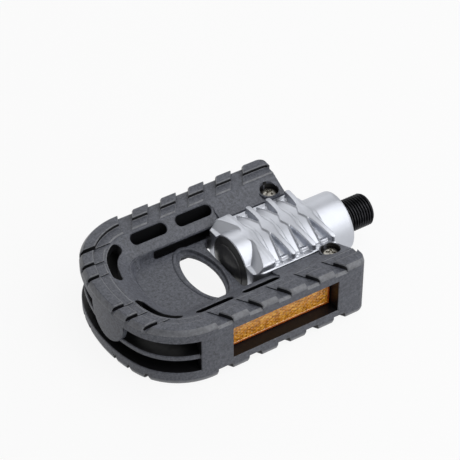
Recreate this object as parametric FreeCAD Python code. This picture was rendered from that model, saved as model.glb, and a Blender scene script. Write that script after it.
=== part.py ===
import FreeCAD, Part
import math
import os
from FreeCAD import Vector

# Folding bicycle pedal in its riding position. All sizes are in millimetres.
# X points along the axle to the crank, Y across the foot's tread, Z up.
# The origin is on the axle's axis, on the face of the collar that seats on the crank.

# Axle: thread, collar, bearing seats and end thread
thread_radius = 7.14
thread_length = 14.4
thread_chamfer = 1.0
collar_radius = 8.25
collar_length = 3.5
hex_socket_flats = 6.0
hex_socket_depth = 7.0
journal_radius = 5.6
journal_length = 34.0
end_journal_radius = 4.0
end_thread_spare = 0.8

# Plain bushes: one behind the collar, one at the axle's outboard end
bush_outer_radius = 7.2
inboard_bush_length = 12.0
outboard_bush_length = 8.0

# Washer and locknut on the axle's outboard end
washer_radius = 8.6
washer_thickness = 1.0
locknut_flats = 12.0
locknut_height = 4.0

# Rubber seal in the barrel's mouth, round the axle's collar
seal_outer_radius = 10.5
seal_recess = 0.3

# Barrel: die-cast housing with a round neck, flat flanks, a hood and crossing ribs
neck_end_x = -0.6
barrel_length = 52.5
neck_radius = 13.25
neck_length = 13.0
hood_length = 8.0
flank_half_width = 18.5
flank_half_height = 7.4
panel_crown_height = 12.6
panel_half_width = 15.6
panel_edge_height = 8.3
rib_crown_height = 13.25
rib_edge_height = 8.7
rib_width = 2.3
rib_count = 4
rib_node_from_neck = 17.0
rib_node_pitch = 9.0
rib_tip_from_neck = 13.6
rib_tip_pitch = 9.83
rib_tip_inset = 0.9
panel_overlap = 2.0
pocket_width = 3.4
pocket_start_share = 0.3
pocket_end_share = 0.9
pocket_edge_inset = 1.0
wing_corner_length = 4.0
hood_rim_chamfer = 0.6

# Domed end cap of the barrel
cap_radius = 12.0
cap_depth = 1.4
cap_face_radius = 4.5
cap_step_radius = 8.5

# Hinge: pivot line across the barrel, pins, sliding blocks and travel
pivot_from_neck = 30.5
pin_radius = 3.0
pin_depth_in_barrel = 8.0
pin_depth_in_block = 6.4
pin_end_gap = 0.2
block_half_length = 4.0
block_half_height = 4.8
block_thickness = 7.6
release_travel = 2.6
lock_lug_length = 3.6
lock_lug_reach = 1.9
lock_lug_inset = 0.3
lock_lug_root = 3.0
lock_lug_bevel = 0.8
lock_lug_top = 1.0
lock_lug_bottom = -4.5

# Keeper blocks, keeper screws and springs in the arms' ends
screw_from_pivot = 11.5
screw_head_radius = 3.8
screw_head_height = 1.7
screw_shank_radius = 1.9
screw_end_below_axis = 4.4
screw_end_gap = 0.1
counterbore_radius = 4.6
counterbore_depth = 1.9
keeper_outboard_reach = 3.4
keeper_end_inset = 0.9
keeper_waist_half_height = 3.0
keeper_waist_depth = 2.0
spring_strip_edge = 1.0
spring_strip_width = 5.0
spring_half_height = 4.0
spring_legs = 3

# Cage: one moulding, the same above and below its middle plane
cage_end_from_screw = 6.3
cage_length = 101.3
cage_half_width = 39.0
corner_radius = 28.0
end_bow_radius = 62.5
rim_top = 11.6
rim_band_width = 11.0
shelf_edge_height = 6.0
bowl_end_shift = 2.2
web_half_thickness = 2.0
ear_height = 8.35
ear_bottom = 3.5
ear_width = 5.0
ear_length = 31.3
ear_end_radius = 9.0
ear_end_hollow = 2.0
ear_corner = 5.0

# Tread lugs: a tall outer step and a low inner step on the rim's flat band
lug_top = 13.95
lug_low_top = 12.5
lug_top_inset = 2.2
lug_step_inset = 5.5
lug_inner_inset = 10.5
lug_root = 0.5
lug_overlap = 0.2
lug_width = 6.7
lug_pitch = 13.5
lug_count = 5
first_lug_length = 9.4
corner_lug_from_end = 31.1
corner_lug_y = 26.4
end_lug_spans = [(-9.0, 9.0), (10.8, 16.5), (18.3, 24.6)]
end_lug_reach = 16.6

# Openings of the cage. Places along X are taken from its outboard end, from its arms' ends or from the pivot.
slot_outer_inset = 9.2
slot_width = 5.6
slot_places = [(30.7, 16.1), (52.7, 15.9)]
corner_slot_outer_radius = 17.1
corner_slot_inner_radius = 13.0
corner_slot_start = 112.0
corner_slot_end = 187.0
hollow_wall = 3.6
hollow_slope_width = 3.9
hollow_from_end = 33.0
hollow_from_pivot = 9.9
hollow_low = 4.6
hollow_high = 8.0
window_half_height = 7.7
window_from_end = 37.8
window_from_arm_end = 14.8
window_ledge = 1.6
wall_slit_from_end = 35.0
wall_slit_length = 22.6
wall_slit_top = 4.6
channel_reach = 24.0
channel_depth = 12.5
channel_top = 7.7
channel_rib_half = 1.2
channel_rib_inset = 1.2
tab_half_width = 11.0
tab_bottom = -5.5
tab_thickness = 1.8
tab_inset = 0.4
hole_from_end = 48.0
hole_half_length = 7.7
hole_half_width = 16.5
hole_end_radius = 5.0
end_pocket_wall = 2.2
end_pocket_width = 6.2
end_pocket_half_height = 8.0
end_pocket_depth = 12.0

# Reflectors
lens_recess = 5.6
lens_thickness = 1.8
backing_thickness = 1.2
lens_gap = 0.2
lens_end_gap = 1.0

# Clearances
running_gap = 0.04
assembly_gap = 0.02
body_gap = 0.3
slot_height_gap = 0.2
bay_gap = 0.5
swing_gap = 0.4

# How far cutting shapes reach past what they cut, and lofts past the arms' ends
past = 1.0
overlap = 0.1
loft_past = 5.0
tab_space = 20.0

# Places that follow from the sizes above
barrel_end_x = neck_end_x - barrel_length
pivot_x = neck_end_x - pivot_from_neck
screw_x = pivot_x + screw_from_pivot
cage_inboard_x = screw_x + cage_end_from_screw
cage_outboard_x = cage_inboard_x - cage_length
bay_half_width = flank_half_width + bay_gap
journal_end_x = -collar_length - journal_length
outboard_bush_x = journal_end_x - outboard_bush_length
washer_x = outboard_bush_x - washer_thickness
locknut_x = washer_x - locknut_height
barrel_end_from_pivot = pivot_x - barrel_end_x
hood_rim_radius = neck_radius - hood_rim_chamfer
swing_radius = math.hypot(barrel_end_from_pivot, hood_rim_radius)
bay_end_x = pivot_x - swing_radius - swing_gap
lock_lug_x0 = barrel_end_x + lock_lug_inset
lock_lug_x1 = lock_lug_x0 + lock_lug_length
shelf_inset = cage_half_width - bay_half_width
corner_centre_y = cage_half_width - corner_radius
end_centre_x = cage_outboard_x + end_bow_radius
corner_centre_x = end_centre_x - math.sqrt(
    (end_bow_radius - corner_radius) ** 2 - corner_centre_y ** 2)
arm_slot_half_height = block_half_height + slot_height_gap
block_inner_y = flank_half_width + body_gap
block_outer_y = block_inner_y + block_thickness
screw_y = (block_inner_y + block_outer_y) / 2
collar_seat_x = -collar_length - running_gap
arm_slot_outer_y = block_outer_y + body_gap
arm_slot_outboard_x = pivot_x - block_half_length - running_gap
keeper_outboard_x = screw_x - keeper_outboard_reach
keeper_inboard_x = cage_inboard_x - keeper_end_inset
block_inboard_x = pivot_x + block_half_length
counterbore_floor = ear_height - counterbore_depth
lens_outer_y = cage_half_width - lens_recess
lens_inner_y = lens_outer_y - lens_thickness
backing_inner_y = lens_inner_y - backing_thickness
ear_outer_y = bay_half_width + ear_width
slot_outer_y = cage_half_width - slot_outer_inset
slot_inner_y = slot_outer_y - slot_width
hollow_inner_y = bay_half_width + hollow_wall
hollow_shoulder_y = hollow_inner_y + hollow_slope_width
hollow_outboard_x = cage_outboard_x + hollow_from_end
hollow_inboard_x = pivot_x - hollow_from_pivot
window_outboard_x = cage_outboard_x + window_from_end
window_inboard_x = cage_inboard_x - window_from_arm_end
wall_slit_x = cage_outboard_x + wall_slit_from_end
channel_inboard_x = cage_outboard_x + channel_reach
end_lug_x = cage_outboard_x + end_lug_reach
hole_centre_x = cage_outboard_x + hole_from_end
end_pocket_outer_y = cage_half_width - end_pocket_wall
end_pocket_inner_y = end_pocket_outer_y - end_pocket_width


def box(x0, x1, y0, y1, z0, z1):
    return Part.makeBox(x1 - x0, y1 - y0, z1 - z0, Vector(x0, y0, z0))


def rod_x(radius, x0, x1):
    return Part.makeCylinder(radius, x1 - x0, Vector(x0, 0, 0), Vector(1, 0, 0))


def rod_y(radius, y0, y1, x, z=0.0):
    return Part.makeCylinder(radius, y1 - y0, Vector(x, y0, z), Vector(0, 1, 0))


def rod_z(radius, z0, z1, x, y):
    return Part.makeCylinder(radius, z1 - z0, Vector(x, y, z0), Vector(0, 0, 1))


def ring_x(inner, outer, x0, x1):
    return rod_x(outer, x0, x1).cut(rod_x(inner, x0 - past, x1 + past))


def prism(points, direction):
    face = Part.Face(Part.makePolygon(points + [points[0]]))
    return face.extrude(direction)


def section_prism(yz_points, x0, x1):
    return prism([Vector(x0, y, z) for y, z in yz_points], Vector(x1 - x0, 0, 0))


def plan_prism(xy_points, z0, z1):
    return prism([Vector(x, y, z0) for x, y in xy_points], Vector(0, 0, z1 - z0))


def turned(xr_points):
    points = [Vector(x, 0, r) for x, r in xr_points]
    face = Part.Face(Part.makePolygon(points + [points[0]]))
    return face.revolve(Vector(0, 0, 0), Vector(1, 0, 0), 360)


def flipped_z(shape):
    return shape.mirror(Vector(0, 0, 0), Vector(0, 0, 1))


def flipped_y(shape):
    return shape.mirror(Vector(0, 0, 0), Vector(0, 1, 0))


def above_and_below(shape):
    return [shape, flipped_z(shape)]


def both_sides(shapes):
    return shapes + [flipped_y(shape) for shape in shapes]


def fused(shapes):
    return shapes[0].multiFuse(shapes[1:]).removeSplitter()


def hexagon_rod(flats, x0, x1):
    corner = flats / math.sqrt(3)
    points = [(corner * math.sin(math.radians(60 * i)), corner * math.cos(math.radians(60 * i)))
              for i in range(6)]
    return section_prism(points, x0, x1)


def crown_section(half_width, crown, edge, base):
    left = Vector(0, -half_width, edge)
    middle = Vector(0, 0, crown)
    right = Vector(0, half_width, edge)
    low_right = Vector(0, half_width, base)
    low_left = Vector(0, -half_width, base)
    edges = [Part.Arc(left, middle, right).toShape(),
             Part.makeLine(right, low_right),
             Part.makeLine(low_right, low_left),
             Part.makeLine(low_left, left)]
    return Part.Face(Part.Wire(edges))


def crown_block(half_width, crown, edge, x0, x1):
    section = crown_section(half_width, crown, edge, 0.0)
    section.translate(Vector(x0, 0, 0))
    return section.extrude(Vector(x1 - x0, 0, 0))


# Axle, turned from steel bar

def make_axle():
    end_x = locknut_x - end_thread_spare
    body = turned([(thread_length, 0), (thread_length, thread_radius - thread_chamfer),
                   (thread_length - thread_chamfer, thread_radius), (0, thread_radius),
                   (0, collar_radius), (-collar_length, collar_radius), (-collar_length, journal_radius),
                   (journal_end_x, journal_radius), (journal_end_x, end_journal_radius),
                   (end_x, end_journal_radius), (end_x, 0)])
    socket = hexagon_rod(hex_socket_flats, thread_length - hex_socket_depth, thread_length + past)
    return body.cut(socket)


# Plain bushes, pressed in the barrel

def make_inboard_bush():
    return ring_x(journal_radius + running_gap, bush_outer_radius,
                  collar_seat_x - inboard_bush_length, collar_seat_x)


def make_outboard_bush():
    return ring_x(end_journal_radius + running_gap, bush_outer_radius,
                  outboard_bush_x, journal_end_x - running_gap)


# Locknut and washer

def make_locknut():
    blank = hexagon_rod(locknut_flats, locknut_x, washer_x)
    return blank.cut(rod_x(end_journal_radius + assembly_gap, locknut_x - past, washer_x + past))


def make_washer():
    return ring_x(end_journal_radius + assembly_gap, washer_radius, washer_x,
                  outboard_bush_x - running_gap)


# Seal: a rubber ring round the axle's collar

def make_seal():
    return ring_x(collar_radius + running_gap, seal_outer_radius, collar_seat_x + assembly_gap,
                  neck_end_x - seal_recess)


# Barrel: round neck and hood, crowned panels, crossing ribs and flat flanks

def rib_places(index):
    node_x = neck_end_x - rib_node_from_neck - rib_node_pitch * index
    tip_x = neck_end_x - rib_tip_from_neck - rib_tip_pitch * index
    return node_x, tip_x


def rib_plan(index, side):
    node_x, tip_x = rib_places(index)
    tip_y = side * (flank_half_width - rib_tip_inset)
    half = rib_width / 2
    return [(node_x - half, 0), (node_x + half, 0), (tip_x + half, tip_y), (tip_x - half, tip_y)]


def pocket_plan(index, side):
    node_x, tip_x = rib_places(index)
    start_y = side * flank_half_width * pocket_start_share
    start_x = node_x + (tip_x - node_x) * pocket_start_share - rib_width / 2
    edge_y = side * (panel_half_width - pocket_edge_inset)
    edge_x = node_x + (tip_x - node_x) * pocket_end_share - rib_width / 2
    return [(start_x, start_y), (edge_x, edge_y), (edge_x - pocket_width, edge_y)]


def make_barrel_body():
    panel_start_x = barrel_end_x + hood_length
    panel_end_x = neck_end_x - neck_length
    neck = rod_x(neck_radius, panel_end_x - panel_overlap, neck_end_x)
    chamfer_length = barrel_end_from_pivot - math.sqrt(swing_radius ** 2 - neck_radius ** 2)
    hood = turned([(barrel_end_x, 0), (barrel_end_x, hood_rim_radius),
                   (barrel_end_x + chamfer_length, neck_radius),
                   (panel_start_x + panel_overlap, neck_radius), (panel_start_x + panel_overlap, 0)])
    wing_corner_x = barrel_end_x + wing_corner_length
    wing_outline = [(panel_start_x, -flank_half_width), (panel_start_x, flank_half_width),
                    (wing_corner_x, flank_half_width), (barrel_end_x, hood_rim_radius),
                    (barrel_end_x, -hood_rim_radius), (wing_corner_x, -flank_half_width)]
    wings = plan_prism(wing_outline, -flank_half_height, flank_half_height)
    flanks = box(panel_start_x, panel_end_x, -flank_half_width, flank_half_width,
                 -flank_half_height, flank_half_height)
    panel = crown_block(panel_half_width, panel_crown_height, panel_edge_height,
                        panel_start_x, panel_end_x)
    rib_space = crown_block(flank_half_width, rib_crown_height, rib_edge_height,
                            barrel_end_x, neck_end_x)
    ribs = []
    for index in range(rib_count):
        for side in (-1, 1):
            pocket = plan_prism(pocket_plan(index, side), flank_half_height, neck_radius + past)
            panel = panel.cut(pocket)
            rib = plan_prism(rib_plan(index, side), 0, neck_radius + past)
            ribs.append(rib.common(rib_space))
    pieces = [neck, hood, wings, flanks]
    for piece in [panel] + ribs:
        pieces.extend(above_and_below(piece))
    return fused(pieces)


def make_lock_lugs():
    inner_y = flank_half_width - lock_lug_root
    outer_y = flank_half_width + lock_lug_reach
    outline = [(lock_lug_x0, inner_y), (lock_lug_x1, inner_y), (lock_lug_x1, flank_half_width),
               (lock_lug_x1 - lock_lug_bevel, outer_y), (lock_lug_x0 + lock_lug_bevel, outer_y),
               (lock_lug_x0, flank_half_width)]
    lug = plan_prism(outline, lock_lug_bottom, lock_lug_top)
    return both_sides([lug])


def make_barrel():
    body = fused([make_barrel_body()] + make_lock_lugs())
    bore = turned([(neck_end_x + past, 0), (neck_end_x + past, seal_outer_radius + assembly_gap),
                   (collar_seat_x, seal_outer_radius + assembly_gap),
                   (collar_seat_x, bush_outer_radius + assembly_gap),
                   (outboard_bush_x, bush_outer_radius + assembly_gap),
                   (outboard_bush_x, cap_radius + assembly_gap),
                   (barrel_end_x - past, cap_radius + assembly_gap), (barrel_end_x - past, 0)])
    body = body.cut(bore)
    pin_hole = rod_y(pin_radius + running_gap, flank_half_width - pin_depth_in_barrel - pin_end_gap,
                     flank_half_width + past, pivot_x)
    for hole in both_sides([pin_hole]):
        body = body.cut(hole)
    return body


# End cap: a plug whose face follows the circle in which it passes the web as the pedal folds

def make_end_cap():
    inner_x = barrel_end_x + cap_depth
    profile = [(inner_x, 0), (inner_x, cap_radius)]
    for radius in (cap_radius, cap_step_radius, cap_face_radius):
        profile.append((pivot_x - math.sqrt(swing_radius ** 2 - radius ** 2), radius))
    profile.append((profile[-1][0], 0))
    return turned(profile)


# Hinge blocks, pins and release springs in the arms

def make_hinge_block():
    block = box(pivot_x - block_half_length, block_inboard_x, block_inner_y, block_outer_y,
                -block_half_height, block_half_height)
    pin_hole = rod_y(pin_radius + assembly_gap, block_inner_y - past,
                     block_inner_y + pin_depth_in_block, pivot_x)
    return block.cut(pin_hole)


def make_hinge_pin():
    return rod_y(pin_radius, flank_half_width - pin_depth_in_barrel,
                 block_inner_y + pin_depth_in_block, pivot_x)


# Release spring: a steel strip folded to and fro between the block and the keeper

def make_spring():
    room = keeper_outboard_x - block_inboard_x - 2 * assembly_gap
    fold_z = spring_half_height - spring_strip_edge
    upper = []
    lower = []
    for fold in range(spring_legs + 1):
        x = block_inboard_x + assembly_gap + room * fold / spring_legs
        z = fold_z if fold % 2 else -fold_z
        upper.append(Vector(x, screw_y - spring_strip_width / 2, z + spring_strip_edge))
        lower.append(Vector(x, screw_y - spring_strip_width / 2, z - spring_strip_edge))
    return prism(upper + lower[::-1], Vector(0, spring_strip_width, 0))


# Keeper block: spool-shaped, held by a vertical screw

def make_keeper():
    block = box(keeper_outboard_x, keeper_inboard_x, block_inner_y, block_outer_y,
                -block_half_height, block_half_height)
    waist = prism([Vector(keeper_inboard_x, block_inner_y, -keeper_waist_half_height),
                   Vector(keeper_inboard_x - keeper_waist_depth, block_inner_y, 0),
                   Vector(keeper_inboard_x, block_inner_y, keeper_waist_half_height)],
                  Vector(0, block_thickness, 0))
    screw_hole = rod_z(screw_shank_radius + assembly_gap, -screw_end_below_axis - screw_end_gap,
                       block_half_height + past, screw_x, screw_y)
    return block.cut(waist).cut(screw_hole)


def make_keeper_screw():
    head_top = counterbore_floor + screw_head_height
    head = rod_z(screw_head_radius, counterbore_floor, head_top, 0, 0)
    shank = rod_z(screw_shank_radius, -screw_end_below_axis, counterbore_floor, 0, 0)
    screw = head.fuse(shank)
    screw.translate(Vector(screw_x, screw_y, 0))
    return screw


# Cage outline in plan: straight sides, round corners and a slightly bowed end

def plan_wire(inset, z, x_inboard, x_shift=0.0):
    half = cage_half_width - inset
    small = corner_radius - inset
    big = end_bow_radius - inset
    corner_x = corner_centre_x + x_shift
    end_x = end_centre_x + x_shift
    lean = math.atan2(corner_centre_y, end_centre_x - corner_centre_x)
    middle = (math.pi / 2 + math.pi - lean) / 2

    def on_corner(angle, side):
        return Vector(corner_x + small * math.cos(angle),
                      side * (corner_centre_y + small * math.sin(angle)), z)

    end_tip = Vector(end_x - big, 0, z)
    upper_start = Vector(corner_x, half, z)
    lower_start = Vector(corner_x, -half, z)
    upper_join = on_corner(math.pi - lean, 1)
    lower_join = on_corner(math.pi - lean, -1)
    upper_inboard = Vector(x_inboard, half, z)
    lower_inboard = Vector(x_inboard, -half, z)
    edges = [Part.makeLine(upper_inboard, upper_start),
             Part.Arc(upper_start, on_corner(middle, 1), upper_join).toShape(),
             Part.Arc(upper_join, end_tip, lower_join).toShape(),
             Part.Arc(lower_join, on_corner(middle, -1), lower_start).toShape(),
             Part.makeLine(lower_start, lower_inboard),
             Part.makeLine(lower_inboard, upper_inboard)]
    return Part.Wire(edges)


def plan_slab(inset, z0, z1, x_inboard=cage_inboard_x):
    return Part.Face(plan_wire(inset, z0, x_inboard)).extrude(Vector(0, 0, z1 - z0))


def plan_loft(sections):
    return Part.makeLoft(sections, True, True)


# Tread lugs: two steps that follow the outline, kept only where a lug stands

def lug_keepers():
    z0 = rim_top - past
    z1 = lug_top + past
    inner_y = cage_half_width - lug_inner_inset - past
    outer_y = cage_half_width + past
    first_x = cage_inboard_x - first_lug_length
    one_side = [box(first_x, cage_inboard_x, inner_y, outer_y, z0, z1)]
    for index in range(1, lug_count):
        x0 = first_x - lug_pitch * index
        one_side.append(box(x0, x0 + lug_width, inner_y, outer_y, z0, z1))
    one_side.append(box(cage_outboard_x - past, cage_outboard_x + corner_lug_from_end,
                        corner_lug_y, outer_y, z0, z1))
    middle = []
    for low, high in end_lug_spans:
        keeper = box(cage_outboard_x - past, end_lug_x, low, high, z0, z1)
        if low > 0:
            one_side.append(keeper)
        else:
            middle.append(keeper)
    return middle + both_sides(one_side)


def make_lugs():
    far_x = cage_inboard_x + loft_past
    base = rim_top - lug_root
    tall = plan_loft([plan_wire(0.0, rim_top, far_x), plan_wire(lug_top_inset, lug_top, far_x)])
    tall = tall.fuse(plan_slab(0.0, base, rim_top, far_x))
    tall = tall.cut(plan_slab(lug_step_inset, base - past, lug_top + past, far_x + past))
    low = plan_slab(lug_step_inset - lug_overlap, base, lug_low_top, far_x)
    low = low.cut(plan_slab(lug_inner_inset, base - past, lug_top + past, far_x + past))
    ring = tall.fuse(low)
    return [ring.common(keeper) for keeper in lug_keepers()]


# Cage: upper half of the moulding, with everything cut from above

def make_cage_half():
    far_x = cage_inboard_x + loft_past
    body = plan_slab(0.0, 0.0, rim_top)
    bowl = plan_loft([plan_wire(rim_band_width, rim_top, far_x),
                      plan_wire(shelf_inset, shelf_edge_height, far_x),
                      plan_wire(shelf_inset, web_half_thickness, far_x, bowl_end_shift)])
    above_bowl = plan_slab(rim_band_width, rim_top, rim_top + past, far_x)
    body = body.cut(bowl.fuse(above_bowl))

    # Flat ears round the screws, with a curved outboard edge
    ear_x0 = cage_inboard_x - ear_length
    ear = box(ear_x0, cage_inboard_x, bay_half_width, ear_outer_y, ear_bottom, ear_height)
    ear_edge = rod_z(ear_end_radius, 0, rim_top, ear_x0 - ear_end_radius + ear_end_hollow, bay_half_width)
    ear = ear.cut(ear_edge)
    body = fused([body] + both_sides([ear]))

    # Bay for the barrel, round inner corners of the ears, and slots for the hinge blocks
    bay = box(bay_end_x, far_x, -bay_half_width, bay_half_width, -past, rim_top + past)
    body = body.cut(bay)
    corner = box(cage_inboard_x - ear_corner, far_x, bay_half_width - past, bay_half_width + ear_corner,
                 -past, rim_top + past)
    corner = corner.cut(rod_z(ear_corner, -past, rim_top + past, cage_inboard_x - ear_corner,
                              bay_half_width + ear_corner))
    arm_slot = box(arm_slot_outboard_x, far_x, bay_half_width - past, arm_slot_outer_y,
                   -past, arm_slot_half_height)
    end_pocket = box(cage_inboard_x - end_pocket_depth, far_x, end_pocket_inner_y, end_pocket_outer_y,
                     -past, end_pocket_half_height)
    cuts = [corner, arm_slot, end_pocket]

    # Side windows, the hollow behind them, and the slots and slits that open into it
    window = box(window_outboard_x, window_inboard_x, backing_inner_y, cage_half_width + past,
                 -past, window_half_height)
    ledge_z = window_half_height - window_ledge
    hollow_outer_y = backing_inner_y + overlap
    hollow_section = [(hollow_inner_y, -past), (hollow_inner_y, hollow_low), (hollow_shoulder_y, hollow_high),
                      (slot_outer_y, hollow_high), (slot_outer_y, ledge_z), (hollow_outer_y, ledge_z),
                      (hollow_outer_y, -past)]
    hollow = section_prism(hollow_section, hollow_outboard_x, hollow_inboard_x)
    hollow = hollow.cut(box(hollow_outboard_x - past, window_outboard_x + window_ledge, slot_outer_y - past,
                            cage_half_width, -2 * past, rim_top))
    slit = box(wall_slit_x, wall_slit_x + wall_slit_length, bay_half_width - 2 * past, hollow_inner_y + past,
               web_half_thickness, wall_slit_top)
    cuts.extend([window, hollow, slit])
    slot_radius = slot_width / 2
    for from_end, length in slot_places:
        x0 = cage_outboard_x + from_end + slot_radius
        x1 = cage_outboard_x + from_end + length - slot_radius
        straight = box(x0, x1, slot_inner_y, slot_outer_y, hollow_low, rim_top + past)
        ends = [rod_z(slot_radius, hollow_low, rim_top + past, x, slot_inner_y + slot_radius)
                for x in (x0, x1)]
        cuts.append(fused([straight] + ends))
    cuts.append(make_corner_slot())
    for cut in both_sides(cuts):
        body = body.cut(cut)

    # Channel round the outboard end, with a thin rib at the middle plane
    channel_y = cage_half_width + past
    channel_space = box(cage_outboard_x - past, channel_inboard_x, -channel_y, channel_y,
                        channel_rib_half, channel_top)
    channel = channel_space.cut(plan_slab(channel_depth, 0, rim_top))
    rib_relief = box(cage_outboard_x - past, channel_inboard_x, -channel_y, channel_y,
                     -past, channel_rib_half + overlap)
    rib_relief = rib_relief.cut(plan_slab(channel_rib_inset, -2 * past, rim_top))
    body = body.cut(channel).cut(rib_relief)

    body = body.cut(make_web_hole())
    return fused([body] + make_lugs())


# Oval hole in the web: two flat arcs joined by two small ones

def make_web_hole():
    end_y = hole_half_width - hole_end_radius
    flat_radius = (end_y ** 2 + hole_half_length ** 2 - hole_end_radius ** 2) / (
        2 * (hole_half_length - hole_end_radius))
    lean = math.asin(end_y / (flat_radius - hole_end_radius))

    def at(side_x, side_y):
        reach_x = hole_half_length - flat_radius + flat_radius * math.cos(lean)
        return Vector(hole_centre_x + side_x * reach_x, side_y * flat_radius * math.sin(lean), -past)

    edges = []
    for side in (1, -1):
        flat_middle = Vector(hole_centre_x + side * hole_half_length, 0, -past)
        end_middle = Vector(hole_centre_x, side * hole_half_width, -past)
        edges.append(Part.Arc(at(side, -side), flat_middle, at(side, side)).toShape())
        edges.append(Part.Arc(at(side, side), end_middle, at(-side, side)).toShape())
    return Part.Face(Part.Wire(edges)).extrude(Vector(0, 0, rim_top))


def make_corner_slot():
    z0 = channel_rib_half
    z1 = rim_top + past
    start = math.radians(corner_slot_start)
    end = math.radians(corner_slot_end)
    middle = (start + end) / 2
    mean = (corner_slot_outer_radius + corner_slot_inner_radius) / 2
    half = (corner_slot_outer_radius - corner_slot_inner_radius) / 2

    def at(radius, angle):
        return Vector(corner_centre_x + radius * math.cos(angle),
                      corner_centre_y + radius * math.sin(angle), z0)

    edges = [Part.Arc(at(corner_slot_outer_radius, start), at(corner_slot_outer_radius, middle),
                      at(corner_slot_outer_radius, end)).toShape(),
             Part.makeLine(at(corner_slot_outer_radius, end), at(corner_slot_inner_radius, end)),
             Part.Arc(at(corner_slot_inner_radius, end), at(corner_slot_inner_radius, middle),
                      at(corner_slot_inner_radius, start)).toShape(),
             Part.makeLine(at(corner_slot_inner_radius, start), at(corner_slot_outer_radius, start))]
    band = Part.Face(Part.Wire(edges)).extrude(Vector(0, 0, z1 - z0))
    ends = []
    for angle in (start, end):
        place = at(mean, angle)
        ends.append(rod_z(half, z0, z1, place.x, place.y))
    return fused([band] + ends)


# Half-oval tab that hangs from the upper rim over the channel

def make_tab():
    ring = plan_slab(tab_inset, tab_bottom - past, channel_top + lug_root)
    ring = ring.cut(plan_slab(tab_inset + tab_thickness, tab_bottom - 2 * past, channel_top + past))
    height = channel_top - tab_bottom
    major = max(tab_half_width, height)
    minor = min(tab_half_width, height)
    centre = Vector(cage_outboard_x - past, 0, channel_top)
    along = Vector(0, 0, 1) if height > tab_half_width else Vector(0, 1, 0)
    across = Vector(0, 1, 0) if height > tab_half_width else Vector(0, 0, 1)
    oval = Part.Ellipse(centre + along * major, centre + across * minor, centre)
    space = Part.Face(Part.Wire([oval.toShape()])).extrude(Vector(tab_space, 0, 0))
    return ring.common(space)


# Grooves in the arms that let the barrel's lugs slide and swing

def lug_groove():
    inner_y = bay_half_width - past
    outer_y = flank_half_width + lock_lug_reach + body_gap
    near = pivot_x - lock_lug_x1 - body_gap
    far = math.hypot(pivot_x - lock_lug_x0, lock_lug_bottom) + body_gap
    ring = rod_y(far, inner_y, outer_y, pivot_x).cut(rod_y(near, inner_y - past, outer_y + past, pivot_x))
    top = lock_lug_top + body_gap
    swing = ring.common(box(pivot_x - far - past, pivot_x, inner_y, outer_y, -far - past, top))
    slide = box(lock_lug_x0 - body_gap, lock_lug_x1 + release_travel + body_gap, inner_y, outer_y,
                lock_lug_bottom - body_gap, top)
    return swing.fuse(slide)


def make_cage():
    half = make_cage_half()
    cage = fused([half, flipped_z(half), make_tab()])
    counterbore = rod_z(counterbore_radius, counterbore_floor, rim_top + past, screw_x, screw_y)
    screw_hole = rod_z(screw_shank_radius + running_gap, 0, counterbore_floor + past, screw_x, screw_y)
    for cut in both_sides([counterbore, screw_hole, lug_groove()]):
        cage = cage.cut(cut)
    return cage


# Reflector lens and its backing in each side window

def make_lens(y0, y1):
    half_height = window_half_height - lens_gap
    return box(window_outboard_x + lens_gap, window_inboard_x - lens_end_gap, y0, y1,
               -half_height, half_height)


def make_parts():
    parts = {}
    parts["axle"] = make_axle()
    parts["axle_seal"] = make_seal()
    parts["inboard_bush"] = make_inboard_bush()
    parts["outboard_bush"] = make_outboard_bush()
    parts["washer"] = make_washer()
    parts["locknut"] = make_locknut()
    parts["barrel"] = make_barrel()
    parts["end_cap"] = make_end_cap()
    pairs = {"hinge_block": make_hinge_block(), "hinge_pin": make_hinge_pin(),
             "release_spring": make_spring(), "keeper_block": make_keeper(),
             "keeper_screw": make_keeper_screw(),
             "reflector_lens": make_lens(lens_inner_y, lens_outer_y),
             "reflector_backing": make_lens(backing_inner_y, lens_inner_y)}
    for name, shape in pairs.items():
        parts[name + "_left"] = shape
        parts[name + "_right"] = flipped_y(shape)
    parts["cage"] = make_cage()
    return parts


os.makedirs("parts", exist_ok=True)
for node, solid in make_parts().items():
    solid.exportStep("parts/" + node + ".step")
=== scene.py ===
import math

import bmesh
import bpy
import numpy as np
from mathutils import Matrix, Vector


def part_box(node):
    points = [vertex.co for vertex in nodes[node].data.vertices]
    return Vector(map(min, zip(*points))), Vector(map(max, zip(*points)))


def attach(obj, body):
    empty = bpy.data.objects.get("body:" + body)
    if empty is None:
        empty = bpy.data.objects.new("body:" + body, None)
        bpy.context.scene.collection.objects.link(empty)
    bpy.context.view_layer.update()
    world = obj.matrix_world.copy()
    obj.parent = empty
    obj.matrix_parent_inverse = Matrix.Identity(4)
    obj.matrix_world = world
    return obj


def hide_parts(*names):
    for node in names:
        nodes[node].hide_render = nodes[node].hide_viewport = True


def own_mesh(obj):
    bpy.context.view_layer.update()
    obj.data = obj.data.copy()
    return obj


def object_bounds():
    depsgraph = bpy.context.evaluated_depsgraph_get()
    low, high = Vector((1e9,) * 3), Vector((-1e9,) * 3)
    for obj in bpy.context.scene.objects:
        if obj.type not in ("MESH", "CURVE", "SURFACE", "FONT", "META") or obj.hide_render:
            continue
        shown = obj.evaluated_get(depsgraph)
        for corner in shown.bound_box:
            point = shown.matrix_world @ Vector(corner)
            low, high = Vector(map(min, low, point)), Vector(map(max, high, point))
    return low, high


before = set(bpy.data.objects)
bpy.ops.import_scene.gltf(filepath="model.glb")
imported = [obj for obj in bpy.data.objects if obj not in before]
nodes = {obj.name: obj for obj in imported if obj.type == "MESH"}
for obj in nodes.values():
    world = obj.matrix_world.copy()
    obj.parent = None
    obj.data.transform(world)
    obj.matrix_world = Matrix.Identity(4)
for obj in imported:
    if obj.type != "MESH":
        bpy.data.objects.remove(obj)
cad_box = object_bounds()
MM = 0.001

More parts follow.
